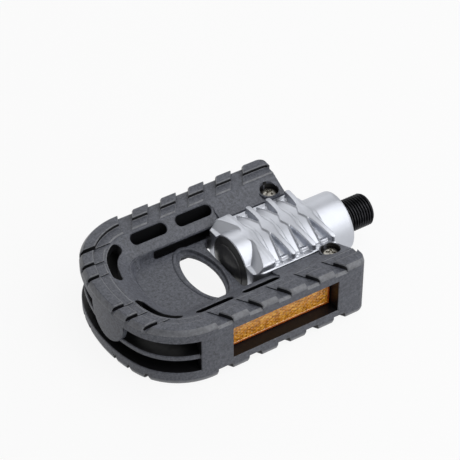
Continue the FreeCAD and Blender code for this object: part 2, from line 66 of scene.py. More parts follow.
# Axle
# The pedal's spindle, turned from steel bar and blackened. Its right-hand 9/16 inch thread, twenty turns to
# the inch, screws into the crank, and the collar behind the thread seats on the crank's face.


def new_surface(name, colour, roughness, metallic=0.0):
    material = bpy.data.materials.new(name)
    material.use_nodes = True
    shader = material.node_tree.nodes["Principled BSDF"]
    shader.inputs["Base Color"].default_value = (*colour, 1.0)
    shader.inputs["Roughness"].default_value = roughness
    shader.inputs["Metallic"].default_value = metallic
    return material, material.node_tree, shader


def grain(tree, size, stretch=(1.0, 1.0, 1.0), detail=4.0, kind="ShaderNodeTexNoise"):
    """A texture whose pattern is about size millimetres across, held to the piece itself."""
    place = tree.nodes.new("ShaderNodeTexCoord")
    scaling = tree.nodes.new("ShaderNodeMapping")
    scaling.inputs["Scale"].default_value = [1.0 / (size * MM * share) for share in stretch]
    texture = tree.nodes.new(kind)
    texture.inputs["Scale"].default_value = 1.0
    if kind == "ShaderNodeTexNoise":
        texture.inputs["Detail"].default_value = detail
    tree.links.new(place.outputs["Object"], scaling.inputs["Vector"])
    tree.links.new(scaling.outputs["Vector"], texture.inputs["Vector"])
    return texture


def ramp(tree, source, stops):
    """Colours along a texture's value: stops are pairs of a place and a colour."""
    node = tree.nodes.new("ShaderNodeValToRGB")
    while len(node.color_ramp.elements) < len(stops):
        node.color_ramp.elements.new(0.5)
    for element, (place, colour) in zip(node.color_ramp.elements, stops):
        element.position = place
        element.color = (*colour, 1.0)
    tree.links.new(source, node.inputs["Fac"])
    return node.outputs["Color"]


def spread(tree, source, low, high, start=0.3, end=0.7):
    """A texture's value brought into the range from low to high."""
    node = tree.nodes.new("ShaderNodeMapRange")
    node.inputs["From Min"].default_value = start
    node.inputs["From Max"].default_value = end
    node.inputs["To Min"].default_value = low
    node.inputs["To Max"].default_value = high
    tree.links.new(source, node.inputs["Value"])
    return node.outputs["Result"]


def tone(tree, shader, texture, low, high):
    """A base colour that goes from one colour to another along a texture's value."""
    tree.links.new(ramp(tree, texture.outputs["Fac"], [(0.3, low), (0.7, high)]), shader.inputs["Base Color"])


def roughen(tree, shader, texture, low, high):
    """A roughness that goes from low to high along a texture's value."""
    tree.links.new(spread(tree, texture.outputs["Fac"], low, high), shader.inputs["Roughness"])


def raise_by(tree, shader, texture, height, strength):
    """Bump of the given height in millimetres from a texture's value."""
    node = tree.nodes.new("ShaderNodeBump")
    node.inputs["Distance"].default_value = height * MM
    node.inputs["Strength"].default_value = strength
    tree.links.new(texture.outputs["Fac"], node.inputs["Height"])
    tree.links.new(node.outputs["Normal"], shader.inputs["Normal"])


def shade(colour, factor):
    return tuple(channel * factor for channel in colour)


def turned_steel(name, colour, roughness, tint=0.35):
    """Metal with fine turning marks round the axle and a patchy tone."""
    material, tree, shader = new_surface(name, colour, roughness, 1.0)
    tone(tree, shader, grain(tree, 6.0), shade(colour, 1 - tint), shade(colour, 1 + tint))
    marks = grain(tree, 0.12, (1.0, 40.0, 40.0), 2.0)
    roughen(tree, shader, marks, roughness * 0.8, roughness * 1.3)
    raise_by(tree, shader, marks, 0.01, 0.6)
    return material


def dress(material, *names):
    """Gives a material to CAD nodes that are shown as they are."""
    for name in names:
        for slot in nodes[name].material_slots:
            slot.material = material


def spoke_mesh(name, rings, closed=False):
    """A mesh from rings of points round the X axis, with a face between each ring and the next."""
    made = bpy.data.meshes.new(name)
    count = len(rings[0])
    points = [Vector(point) * MM for ring in rings for point in ring]
    faces = []
    for index in range(len(rings) - (0 if closed else 1)):
        first = index * count
        second = (index + 1) % len(rings) * count
        for step in range(count):
            after = (step + 1) % count
            faces.append((first + step, first + after, second + after, second + step))
    made.from_pydata(points, [], faces)
    return made


def linked(name, made):
    piece = bpy.data.objects.new(name, made)
    bpy.context.collection.objects.link(piece)
    return piece


def finished(name, made, sharp_angle=40.0):
    """An object with merged points, faces that look outwards and soft shading up to an angle."""
    shape = bmesh.new()
    shape.from_mesh(made)
    bmesh.ops.remove_doubles(shape, verts=shape.verts, dist=0.002 * MM)
    bmesh.ops.dissolve_degenerate(shape, edges=shape.edges, dist=0.002 * MM)
    bmesh.ops.recalc_face_normals(shape, faces=shape.faces)
    shape.to_mesh(made)
    shape.free()
    for face in made.polygons:
        face.use_smooth = True
    made.set_sharp_from_angle(angle=math.radians(sharp_angle))
    return linked(name, made)


def ring(x, radii, turns):
    """Points round the X axis, one for each radius and its turn."""
    return [(x, radius * math.cos(turn), radius * math.sin(turn)) for radius, turn in zip(radii, turns)]


def even_turns(count):
    return [math.tau * step / count for step in range(count)]


def plain_ring(x, radius, count):
    return ring(x, [radius] * count, even_turns(count))


black_steel = turned_steel("black_steel_turned", (0.03, 0.03, 0.033), 0.3)
axle_end_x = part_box("axle")[1].x / MM
axle_tail_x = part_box("axle")[0].x / MM
thread_crest = 7.14
thread_depth = 0.78
thread_pitch = 25.4 / 20
thread_stations = 136
collar_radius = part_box("axle")[1].z / MM
collar_back_x = -3.5
journal_radius = 5.6
journal_end_x = -37.5
tail_radius = 4.0
socket_flats = 6.0
socket_depth = 7.0
axle_spokes = 96


def thread_radius(x, turn):
    """A right-hand thread with flat crests, bevelled at its end and fading out towards the collar."""
    across = abs((x / thread_pitch - turn / math.tau) % 1.0 - 0.5) * 2.0
    groove = min(max((0.86 - across) / 0.64, 0.0), 1.0)
    fading = min(max((x - 0.9) / 1.3, 0.0), 1.0)
    bevel = thread_crest - 1.0 + (axle_end_x - x)
    return min(bevel, thread_crest - thread_depth * groove * fading)


def hexagon_radius(turn):
    return socket_flats / 2 / math.cos((turn + math.pi / 6) % (math.pi / 3) - math.pi / 6)


axle_profile = [(axle_tail_x, 0.0), (axle_tail_x, tail_radius - 0.4), (axle_tail_x + 0.4, tail_radius),
                (journal_end_x, tail_radius), (journal_end_x, journal_radius),
                (collar_back_x, journal_radius), (collar_back_x, collar_radius - 0.15),
                (collar_back_x + 0.15, collar_radius),
                (-0.25, collar_radius), (0.0, collar_radius - 0.25), (0.0, thread_crest)]
rings = [plain_ring(x, radius, axle_spokes) for x, radius in axle_profile]
turns = even_turns(axle_spokes)
for step in range(1, thread_stations + 1):
    x = axle_end_x * step / thread_stations
    rings.append(ring(x, [thread_radius(x, turn) for turn in turns], turns))
rings.append(plain_ring(axle_end_x, 4.1, axle_spokes))
for depth in (0.55, socket_depth):
    rings.append(ring(axle_end_x - depth, [hexagon_radius(turn) for turn in turns], turns))
rings.append(plain_ring(axle_end_x - socket_depth - 1.4, 0.0, axle_spokes))
axle = finished("axle_steel", spoke_mesh("axle_steel", rings))
axle.data.materials.append(black_steel)
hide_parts("axle")
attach(axle, "axle")

# Bushes
# Two plain bushes of sintered bronze, one at each end of the axle. They are pressed into the barrel and turn
# with it. None of this shows, so the solids are only given their material.

bronze = turned_steel("bronze_sintered", (0.55, 0.36, 0.16), 0.42, 0.15)
dress(bronze, "inboard_bush", "outboard_bush")

# Washer and locknut
# Bright turned steel. They hold the barrel on the axle: the washer bears on the outboard bush, and the nut is
# screwed on the axle's end behind the cap.

bright_steel = turned_steel("bright_steel_turned", (0.56, 0.56, 0.58), 0.26, 0.08)
dress(bright_steel, "washer", "locknut")

# Barrel
# Die-cast aluminium with a satin finish: a round neck, a hood over the cap, and ribs that cross the crown
# from flank to flank. All ribs but the last have a pocket beside them with a thin raised edge. The skin is
# found from the outside in, along rays round the axle's line.

neck_end_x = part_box("barrel")[1].x / MM
neck_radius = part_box("barrel")[1].z / MM
block_inboard_x = neck_end_x - 13.0
hood_rim_x = neck_end_x - 52.5
flank_half_width = 18.5
flank_half_height = 7.4
rib_half_width = 1.2
rib_tip_y = 17.5
rib_crown_radius = 56.0
pocket_near_y = 4.0
pocket_far_y = 14.9
pocket_widest = 3.6
pocket_depth = 1.9
rib_places = [(-17.6 - 9.0 * index, -14.2 - 9.83 * index) for index in range(4)]
bush_bore_radius = 7.22
seal_seat_radius = 10.6
seal_seat_depth = 3.0
cap_seat_depth = 2.2


def softer(first, second, blend):
    """The greater of two fields, rounded where they meet."""
    share = np.clip(0.5 + 0.5 * (first - second) / blend, 0.0, 1.0)
    return second + (first - second) * share + blend * share * (1.0 - share)


def joined(first, second, blend):
    return -softer(-first, -second, blend)


def crown_arc(across, top, radius):
    return top - radius + np.sqrt(np.maximum(radius ** 2 - across ** 2, 0.0))


def eased(value):
    value = np.clip(value, 0.0, 1.0)
    return value * value * (3.0 - 2.0 * value)


def barrel_field(x, y, z):
    """Below zero inside the casting, and about the distance from its skin in millimetres."""
    across = np.abs(y)
    height = np.abs(z)
    panel = crown_arc(across, 12.6, 30.4)
    panel = -softer(-panel, 2.0 * (across - 15.4) - 8.3, 0.5)
    panel = softer(panel, np.full_like(panel, flank_half_height + 0.1), 0.4)
    rib_top = crown_arc(across, 13.2, rib_crown_radius)
    bars = np.full_like(x, 10.0)
    for index, (node_x, tip_x) in enumerate(rib_places):
        beside = x - (node_x + (tip_x - node_x) * across / rib_tip_y)
        past_end = np.maximum(across - rib_tip_y + rib_half_width - 0.2, 0.0)
        bar_side = np.hypot(beside, past_end) - rib_half_width - 1.3 * np.exp(-(across / 3.6) ** 2)
        bars = joined(bars, softer(height - rib_top, 0.9 * bar_side, 0.45), 0.2)
        shoulder = 1.5 + 1.2 * np.exp(-(across / 5.0) ** 2) + 0.4 * np.sin(across / 2.6)
        beyond_bar = np.where(beside > 0.0, beside - rib_half_width, 9.0)
        panel = panel + 0.4 * eased((shoulder - beyond_bar) / 0.3) * eased((17.4 - across) / 0.6)
        if index == len(rib_places) - 1:
            continue
        into = -beside - rib_half_width
        along = np.clip((across - pocket_near_y) / (pocket_far_y - pocket_near_y), 0.0, 1.0)
        width = pocket_widest * along ** 0.8
        inside = np.minimum(np.minimum(into + 0.2, width - into), pocket_far_y - across)
        panel = panel - pocket_depth * eased(inside / 0.7)
        edge = np.exp(-((into - width - 0.35) / 0.34) ** 2)
        panel = panel + 0.6 * edge * eased((across - 1.0) / 3.0) * eased((18.0 - across) / 1.5)
    last_x = rib_places[-1][0]
    wing_side = x - (last_x + (rib_places[-1][1] - last_x) * across / rib_tip_y)
    facet = 13.25 + 1.3 * (x - last_x) + 0.171 * across
    wing = softer(height - rib_top, 0.6 * (height - facet), 0.4)
    wing = softer(wing, wing_side, 0.3)
    wing = softer(wing, across - rib_tip_y - 0.3, 0.9)
    taper = 0.87 * (across - flank_half_width) + 0.5 * (last_x - 4.6 - x)
    low = softer(height - panel, across - flank_half_width, 0.5)
    low = softer(low, x - block_inboard_x, 0.4)
    low = softer(low, height - np.maximum(facet, flank_half_height), 0.4)
    bars = softer(bars, x - block_inboard_x - 0.5, 0.4)
    block = joined(joined(low, bars, 0.5), wing, 0.4)
    block = softer(block, taper, 0.5)
    neck = softer(np.sqrt(y ** 2 + z ** 2) - neck_radius, block_inboard_x - 3.0 - x, 0.2)
    hood = softer(np.sqrt(y ** 2 + z ** 2) - neck_radius, x - last_x - 1.0, 0.2)
    side_lug = np.maximum(np.maximum(np.abs(x + 51.0) - 1.75, across - 20.2), np.abs(z + 1.75) - 2.6)
    return joined(joined(joined(block, neck, 0.5), hood, 0.35), side_lug, 0.3)


station_gap = 0.22
walls = [block_inboard_x + shift for shift in (-0.6, -0.3, 0.05, 0.25, 0.45)]
stations = [neck_end_x - 0.6 - step for step in range(12)] + walls
first_x = block_inboard_x - 0.8
stations += [first_x - station_gap * step for step in range(int((first_x - hood_rim_x) / station_gap))]
stations = sorted(stations + [hood_rim_x + 0.25, hood_rim_x], reverse=True)
quarter = np.radians(np.concatenate([np.linspace(0.0, 18.0, 14, endpoint=False),
                                     np.linspace(18.0, 36.0, 44, endpoint=False),
                                     np.linspace(36.0, 90.0, 50)]))
half = np.concatenate([quarter, math.pi - quarter[-2::-1]])
turns = np.concatenate([half, math.tau - half[-2:0:-1]])
spokes = len(turns)
grid_x = np.repeat(np.array(stations)[:, None], spokes, axis=1)
reach_y = np.repeat(np.cos(turns)[None, :], len(stations), axis=0)
reach_z = np.repeat(np.sin(turns)[None, :], len(stations), axis=0)
outer = np.full(grid_x.shape, neck_radius - 1.0)
found = np.zeros(grid_x.shape, bool)
for radius in np.arange(21.0, neck_radius - 1.0, -0.3):
    inside = barrel_field(grid_x, reach_y * radius, reach_z * radius) < 0.0
    outer = np.where(inside & ~found, radius, outer)
    found |= inside
beyond = outer + 0.3
for halving in range(9):
    between = (outer + beyond) / 2
    inside = barrel_field(grid_x, reach_y * between, reach_z * between) < 0.0
    outer = np.where(inside, between, outer)
    beyond = np.where(inside, beyond, between)
outer[-1] = outer[-1] - 0.25
cap_seat_radius = neck_radius - 0.6
mouth = [(neck_end_x - seal_seat_depth, bush_bore_radius), (neck_end_x - seal_seat_depth, seal_seat_radius),
         (neck_end_x - 0.3, seal_seat_radius), (neck_end_x, seal_seat_radius + 0.3),
         (neck_end_x, neck_radius - 0.5), (neck_end_x - 0.15, neck_radius - 0.15)]
inner_end = [(hood_rim_x, cap_seat_radius), (hood_rim_x + cap_seat_depth, cap_seat_radius),
             (hood_rim_x + cap_seat_depth, bush_bore_radius)]
rings = [ring(x, [radius] * spokes, turns) for x, radius in mouth]
rings += [ring(x, row, turns) for x, row in zip(stations, outer)]
rings += [ring(x, [radius] * spokes, turns) for x, radius in inner_end]
barrel = finished("barrel_casting", spoke_mesh("barrel_casting", rings, closed=True), 50.0)

aluminium_colour = (0.58, 0.6, 0.65)
cast_aluminium, tree, shader = new_surface("cast_aluminium_satin", aluminium_colour, 0.44, 1.0)
tone(tree, shader, grain(tree, 9.0), shade(aluminium_colour, 0.9), aluminium_colour)
skin = grain(tree, 0.35, detail=3.0)
roughen(tree, shader, skin, 0.4, 0.48)
raise_by(tree, shader, skin, 0.008, 0.4)
barrel.data.materials.append(cast_aluminium)
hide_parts("barrel")
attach(barrel, "barrel")

# Seal
# A moulded rubber ring with two low lips, pressed into the barrel's mouth round the axle's collar. It keeps
# water off the inboard bush.

rubber, tree, shader = new_surface("seal_rubber_black", (0.012, 0.012, 0.013), 0.55)
pores = grain(tree, 0.5)
roughen(tree, shader, pores, 0.45, 0.65)
raise_by(tree, shader, pores, 0.02, 0.6)
seal_inboard_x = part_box("axle_seal")[1].x / MM
seal_outboard_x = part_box("axle_seal")[0].x / MM
seal_inner_radius = 8.3
seal_outer_radius = 10.48
lips = [(-0.3, seal_outer_radius), (-0.08, 10.35), (0.0, 10.1), (-0.2, 9.85), (-0.45, 9.7), (-0.45, 9.15),
        (-0.2, 9.0), (0.0, 8.8), (-0.05, 8.5), (-0.3, seal_inner_radius)]
rings = [plain_ring(seal_outboard_x, radius, 96) for radius in (seal_inner_radius, seal_outer_radius)]
rings += [plain_ring(seal_inboard_x + shift, radius, 96) for shift, radius in lips]
seal = finished("seal_ring", spoke_mesh("seal_ring", rings, closed=True))
seal.data.materials.append(rubber)
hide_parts("axle_seal")
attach(seal, "barrel")

# End cap
# A black plastic plug, moulded with a low dome and a step round its edge, and pushed into the barrel's
# outboard end.

cap_plastic, tree, shader = new_surface("cap_plastic_black", (0.04, 0.04, 0.042), 0.34)
roughen(tree, shader, grain(tree, 3.0), 0.3, 0.42)
pivot_x = (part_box("hinge_pin_left")[0].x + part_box("hinge_pin_left")[1].x) / 2 / MM
dome_radius = math.hypot(pivot_x - hood_rim_x, cap_seat_radius)
cap_radius = cap_seat_radius - 0.06
step_radius = 9.9
rim_drop = 0.25
cap_back_x = hood_rim_x + 1.4


def dome_x(radius):
    return pivot_x - math.sqrt(dome_radius ** 2 - radius ** 2)


step_x = dome_x(step_radius)
cap_profile = [(cap_back_x, 0.0), (cap_back_x, cap_radius), (dome_x(cap_radius) + rim_drop, cap_radius)]
for radius in np.linspace(cap_radius - 0.3, step_radius + 0.3, 5):
    cap_profile.append((dome_x(radius) + rim_drop, radius))
cap_profile += [(step_x + 0.55, step_radius + 0.1), (step_x + 0.5, step_radius - 0.05),
                (dome_x(step_radius - 0.2) + 0.12, step_radius - 0.1)]
cap_profile += [(dome_x(radius), radius) for radius in np.linspace(step_radius - 0.35, 0.0, 12)]
cap = finished("cap_dome", spoke_mesh("cap_dome", [plain_ring(x, radius, 96) for x, radius in cap_profile]))
cap.data.materials.append(cap_plastic)
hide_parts("end_cap")
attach(cap, "barrel")

# Hinge
# Steel pins in the barrel's flanks carry two acetal blocks, which slide in the cage's arms. Behind each block
# lies a folded strip of spring steel, held by a keeper block at the arm's end. The strips shorten as the cage
# is pulled outboard.

acetal, tree, shader = new_surface("acetal_black", (0.02, 0.02, 0.022), 0.36)
flow = grain(tree, 1.2, (1.0, 3.0, 1.0))
roughen(tree, shader, flow, 0.3, 0.44)
raise_by(tree, shader, flow, 0.01, 0.5)
spring_steel = turned_steel("spring_steel_rolled", (0.36, 0.37, 0.4), 0.3, 0.15)
for side in ("left", "right"):
    dress(acetal, "hinge_block_" + side, "keeper_block_" + side)
    dress(bright_steel, "hinge_pin_" + side)
    spring = linked("spring_" + side, nodes["release_spring_" + side].data.copy())
    spring.data.materials.clear()
    spring.data.materials.append(spring_steel)
    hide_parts("release_spring_" + side)
    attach(spring, "hinge_blocks")
    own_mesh(spring)

# Cage
# One moulding in dark glass-filled nylon, the same above and below: a rim with tread lugs, shelves that slope
# to a web, and an open channel round the outboard end. Its section is carried round the rim's outline.

cage_low, cage_high = [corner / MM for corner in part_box("cage")]
half_width = cage_high.y
inboard_x = cage_high.x
outboard_x = cage_low.x
lug_top = cage_high.z
rim_top = lug_top - 2.35
rim_band = 11.0
shelf_inset = 20.0
web_top = 2.0
corner_radius = 28.0
bow_radius = 62.5
corner_y = half_width - corner_radius
bow_x = outboard_x + bow_radius
corner_x = bow_x - math.sqrt((bow_radius - corner_radius) ** 2 - corner_y ** 2)
lean = math.atan2(corner_y, bow_x - corner_x)
corner_lug_y = 26.4
arm_run = inboard_x - corner_x
corner_run = 30.0
end_run = arm_run + corner_run + corner_lug_y
lug_start_x = -15.1
lug_end_x = -22.5
lug_pitch = 13.5
side_lugs = 5
ear_run = 32.1
end_round = 3.2
bay_run = 43.58
recess_half_height = 7.7
rib_half_height = 1.2
wall_bevel = 0.3


def arm_runs(*places):
    """Distances from the arm's end of places given along X."""
    return [inboard_x - x for x in places]


def end_runs(*places):
    """Distances round the outline of places given across Y, on the outboard end."""
    return [arm_run + corner_run + corner_lug_y - y for y in places]


lug_spans = [(-5.0, 9.4)]
lug_spans += [tuple(arm_runs(lug_start_x - lug_pitch * index, lug_end_x - lug_pitch * index))
              for index in range(1, side_lugs)]
lug_spans += [(arm_runs(-83.5)[0], arm_run + corner_run), tuple(end_runs(24.6, 18.3)),
              tuple(end_runs(16.5, 10.8)), (end_runs(9.0)[0], end_run + 5.0)]
window_span = tuple(arm_runs(-26.5, -76.8))
channel_span = (arm_run + 6.3, end_run + 50.0)
slit_end_x = -78.2
slit_span = tuple(arm_runs(-50.0, slit_end_x))
block_slot_span = (-5.0, 21.8)
window_depth = half_width - 30.4
channel_depth = 12.5
block_slot_depth = half_width - 26.7
slit_depth = half_width - 22.3


def height_in(run, spans, stops):
    """How far a feature has risen at a place. Stops pair a distance in from its edge with a share."""
    best = 0.0
    distances, shares = zip(*stops)
    for start, end in spans:
        inside = min(run - start, end - run)
        if inside >= 0.0:
            best = max(best, float(np.interp(inside, distances, shares)))
    return best


lug_round = [(0.0, 0.72), (0.12, 0.9), (0.35, 1.0)]
window_wall = [(0.0, 0.0), (wall_bevel, wall_bevel), (wall_bevel + 0.02, window_depth)]
channel_wall = [(0.0, 0.0), (0.4, 0.4), (2.4, channel_depth - 2.0), (4.0, channel_depth)]
sharp_edge = [(0.0, 1.0)]
lower_lug_share = 0.5
rib_drop = 1.3


def shelf_bulge(inset):
    """The bowed outboard edge of the flat ear round each screw."""
    return -0.7 * max(0.0, 1.0 - ((inset - 16.3) / 5.0) ** 2)


def place(run, inset):
    """The point on the outline moved in by inset, at a distance round the rim from the arm's end."""
    if run < end_round:
        pull = end_round - math.sqrt(end_round ** 2 - (end_round - run) ** 2)
        inset += pull * max(0.0, 1.0 - inset / 12.0)
    if run <= arm_run:
        bulge = shelf_bulge(inset) * max(0.0, 1.0 - abs(run - ear_run) / 7.0)
        return inboard_x - run + bulge, half_width - inset
    y = corner_lug_y - max(run - arm_run - corner_run, 0.0)
    reach = min(inset, rim_band)
    if y > corner_y + (corner_radius - reach) * math.sin(lean):
        centre_x, centre_y, radius = corner_x, corner_y, corner_radius
    else:
        centre_x, centre_y, radius = bow_x, 0.0, bow_radius
    angle = math.asin((y - centre_y) / (radius - reach))
    share = min((run - arm_run) / corner_run, 1.0)
    angle = (1.0 - share) * math.pi / 2 + share * angle
    return centre_x - (radius - inset) * math.cos(angle), centre_y + (radius - inset) * math.sin(angle)


rim_profile = [((0.0, 8.1), (0.0, 8.1)), ((0.0, 10.4), (0.0, 11.7)), ((0.12, 10.7), (0.05, 12.2)),
               ((0.9, 11.4), (0.4, 12.7)), ((1.2, 11.55), (1.1, 13.55)), ((1.6, 11.6), (1.45, 13.85)),
               ((2.1, 11.6), (1.95, 13.95)), ((5.3, 11.6), (5.35, 13.95)), ((5.6, 11.6), (5.65, 13.8)),
               ((5.8, 11.6), (5.8, 13.55)), ((5.9, 11.6), (5.85, 12.3)), ((6.1, 11.6), (6.0, 12.18)),
               ((9.5, 11.6), (9.5, 12.18)), ((9.85, 11.6), (9.9, 12.0)), ((10.05, 11.6), (10.1, 11.8)),
               ((10.2, 11.6), (10.15, 11.65)), ((10.8, 11.58), (10.8, 11.6)), ((11.1, 11.5), (11.1, 11.52)),
               ((11.6, 11.2), (11.6, 11.22))]
shelf_profile = [(13.8, 9.86, 10.2), (15.9, 8.55, 9.2), (16.4, 8.24, 8.95), (18.0, 7.24, 8.25),
                 (19.3, 6.43, 7.75), (19.8, 6.1, 7.5), (20.0, 5.6, 7.1)]
lug_slant = 0.64


def slanted(run, inset, height):
    """The run of a point on top: the lugs' ends lean outboard, and turn square at the corner."""
    if abs(height) < recess_half_height + 0.35:
        return run
    reach = float(np.interp(inset, [0.7, 10.6, 11.6, 13.8], [0.0, 9.9, 9.9, 0.0]))
    share = float(np.interp(run, [0.0, 8.5, arm_run - 1.3, arm_run + 14.0], [0.0, 1.0, 1.0, 0.0]))
    return run + lug_slant * reach * share


def half_section(run, below=False):
    """The upper half of the rim's section, as pairs of inset and height from the outer side to the inner."""
    lug = height_in(run, lug_spans, lug_round)
    window = height_in(run, [window_span], window_wall)
    channel = height_in(run, [channel_span], channel_wall)
    depth = max(window, channel)
    rib_inset = min(channel, 1.2) if channel else window
    ear = height_in(run, [(-5.0, ear_run)], [(0.0, 0.8), (0.2, 1.0)])
    soft = float(np.interp(run, [arm_run - 6.0, arm_run + 14.0], [0.0, 1.0]))
    slit = height_in(run, [slit_span], sharp_edge)
    slot = height_in(run, [block_slot_span], sharp_edge)
    rib_middle = -rib_drop * min(channel, 1.0)
    rib_top = rib_half_height + (-rib_middle if below else rib_middle)
    points = [(rib_inset, rib_middle), (rib_inset, rib_top - 0.35), (min(rib_inset + 0.35, depth), rib_top),
              (depth, rib_top), (depth, recess_half_height), (min(wall_bevel, depth), recess_half_height),
              (0.0, recess_half_height + wall_bevel)]
    for flat, raised in rim_profile:
        raised_inset = raised[0] * (lower_lug_share if below and raised[0] < 2.0 else 1.0)
        points.append((flat[0] + lug * (raised_inset - flat[0]), flat[1] + lug * (raised[1] - flat[1])))
    for inset, plain, eared in shelf_profile:
        points.append((inset, plain + ear * (eared - plain)))
    points.append((shelf_inset + 0.45 * soft, 5.55))
    inner = shelf_inset + 2.4 * soft
    top = 5.2
    recess = shelf_inset - slit * (shelf_inset - slit_depth) - slot * (shelf_inset - block_slot_depth)
    wall = shelf_inset + 0.5 * soft if soft else shelf_inset
    foot = web_top * (1.0 - slot) - 1.5 * slit
    inner = inner - slot * (shelf_inset - block_slot_depth)
    points += [(wall + 0.08 * soft, top), (recess if slit or slot else wall + 0.1 * soft, top),
               (recess if slit or slot else wall + 1.2 * soft, max(foot, 1.9 * soft) + 0.9 * soft),
               (inner, foot), (inner, 0.0)]
    return points


def crossings(spans, offsets):
    """Places just outside and inside both ends of each span."""
    return [edge + direction * offset for span in spans
            for edge, direction in zip(span, (1, -1)) for offset in offsets]


runs = crossings(lug_spans, (-0.02, 0.0, 0.12, 0.35))
runs += crossings([window_span], (-0.01, 0.0, wall_bevel, wall_bevel + 0.02))
runs += crossings([channel_span], (-0.01, 0.0, 0.4, 1.2, 2.4, 3.2, 4.0))
runs += crossings([slit_span, block_slot_span], (-0.02, 0.0))
runs += [ear_run - 0.2, ear_run, ear_run + 0.02, bay_run]
runs += [0.7, 1.1, 1.6, 2.3, end_round, arm_run, arm_run + corner_run, end_run]
runs += list(np.arange(1.5, arm_run, 1.6)) + list(np.arange(arm_run, end_run, 0.8))
runs = sorted(run for run in runs if 0.35 < run <= end_run)
spaced = [runs[0]]
for run in runs[1:]:
    if run - spaced[-1] > 0.008:
        spaced.append(run)


def next_place(point, others):
    """The first of the others that isn't where the point is."""
    return next(other for other in others if math.dist(other, point) > 0.01)


def shrunk(section, amount):
    """A closed outline with every side moved inwards by the same amount."""
    moved = []
    for index, point in enumerate(section):
        before = next_place(point, section[index - 1::-1] + section[::-1])
        after = next_place(point, section[index + 1:] + section)
        arriving = Vector((point[0] - before[0], point[1] - before[1])).normalized()
        leaving = Vector((after[0] - point[0], after[1] - point[1])).normalized()
        step = arriving + leaving
        reach = 2.0 * amount / max(step.length_squared, 1.0)
        moved.append((point[0] + step.y * reach, point[1] - step.x * reach))
    return moved


def whole_section(run):
    lower = [(inset, -height) for inset, height in half_section(run, below=True)[-2:0:-1]]
    return half_section(run) + lower


sections = [(0.0, shrunk(whole_section(0.35), 0.4)), (0.12, shrunk(whole_section(0.35), 0.12)),
            (0.4, whole_section(0.4))]
sections += [(run, whole_section(run)) for run in spaced if run > 0.4]
strips = []
for side in (1, -1):
    for run, section in (sections if side == 1 else sections[-2::-1]):
        strip = []
        for inset, height in section:
            x, y = place(slanted(run, inset, height), inset)
            strip.append((x, side * y, height))
        strips.append(strip)


def strip_mesh(name, strips):
    """A mesh from strips of points, joined from each to the next and closed at both ends."""
    count = len(strips[0])
    points = [Vector(point) * MM for strip in strips for point in strip]
    faces = []
    for index in range(len(strips) - 1):
        for step in range(count):
            after = (step + 1) % count
            faces.append((index * count + step, index * count + after,
                          (index + 1) * count + after, (index + 1) * count + step))
    faces.append(tuple(range(count)))
    faces.append(tuple(range((len(strips) - 1) * count, len(strips) * count)))
    made = bpy.data.meshes.new(name)
    made.from_pydata(points, [], faces)
    return made


rim = finished("cage_rim", strip_mesh("cage_rim", strips))


def rounded_outline(spine, radius, arc_steps=8):
    """The outline at a distance from an open line in plan, with round ends."""
    left, right = [], []
    for index, point in enumerate(spine):
        ahead = spine[min(index + 1, len(spine) - 1)]
        behind = spine[max(index - 1, 0)]
        along = (Vector(ahead) - Vector(behind)).normalized()
        across = Vector((-along.y, along.x))
        left.append(Vector(point) + across * radius)
        right.append(Vector(point) - across * radius)
    outline = list(right)
    for centre, start in ((spine[-1], right[-1]), (spine[0], left[0])):
        arm = start - Vector(centre)
        turned_arms = []
        for step in range(1, arc_steps):
            angle = math.pi * step / arc_steps
            turned_arms.append(Vector(centre) + Vector((arm.x * math.cos(angle) - arm.y * math.sin(angle),
                                                        arm.x * math.sin(angle) + arm.y * math.cos(angle))))
        outline += turned_arms
        if start is right[-1]:
            outline += left[::-1]
    return outline


def inset_at(x, y):
    """How far a place in plan lies inside the cage's outline."""
    if x > corner_x:
        return half_width - abs(y)
    on_corner = math.atan2(abs(y) - corner_y, corner_x - x) > lean and abs(y) > corner_y
    if on_corner:
        return corner_radius - math.hypot(x - corner_x, abs(y) - corner_y)
    return bow_radius - math.hypot(x - bow_x, y)


def shelf_height(inset):
    return rim_top - max(inset - rim_band, 0.0) * 0.622


def groove_cutters(name, spine, radius, floor):
    """Tools that cut a groove with a bevelled mouth, in the shelf above and in the one below."""
    made = []
    for side in (1, -1):
        levels = []
        for grow, rise in ((0.0, None), (0.0, -0.35), (0.35, 0.0), (0.4, 6.0)):
            level = []
            for point in rounded_outline(spine, radius + grow):
                height = floor if rise is None else shelf_height(inset_at(point.x, point.y)) + rise
                level.append((point.x, point.y, side * height))
            levels.append(level)
        made.append(strip_mesh(name, levels))
    return made


cutters = []
slot_y = 25.3
slot_radius = 2.15
slot_places = [(-85.1, -68.3), (-63.7, -46.8)]
slot_floor = 0.6
corner_slot_inset = 13.1
corner_slot_radius = 2.1
corner_slot_floor = 1.6
corner_slot_far_x = -91.9
corner_slot_near_y = 8.3
for side in (1, -1):
    for low_x, high_x in slot_places:
        slot_line = (low_x + slot_radius, (low_x + high_x) / 2, high_x - slot_radius)
        spine = [(x, side * slot_y) for x in slot_line]
        cutters += groove_cutters("slot_tool", spine, slot_radius, slot_floor)
    spine = [place(run, corner_slot_inset) for run in np.arange(arm_run, end_run, 1.0)]
    spine = [(x, side * y) for x, y in spine if x < corner_slot_far_x and y > corner_slot_near_y]
    cutters += groove_cutters("corner_slot_tool", spine, corner_slot_radius, corner_slot_floor)

screw_low, screw_high = [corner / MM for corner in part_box("keeper_screw_left")]
screw_place = (screw_low + screw_high) / 2
counterbore_floor = 6.45
bore_radius = 3.95
collar_top = 9.4
bay_near_y = 30.6
bay_far_y = 36.8
bay_half_height = 8.0
groove_near_radius = 17.7
groove_far_radius = 22.6


def level_ring(centre_x, centre_y, radius, height, count):
    """Points round an upright line, at one height."""
    return [(centre_x + radius * math.cos(turn), centre_y + radius * math.sin(turn), height)
            for turn in even_turns(count)]


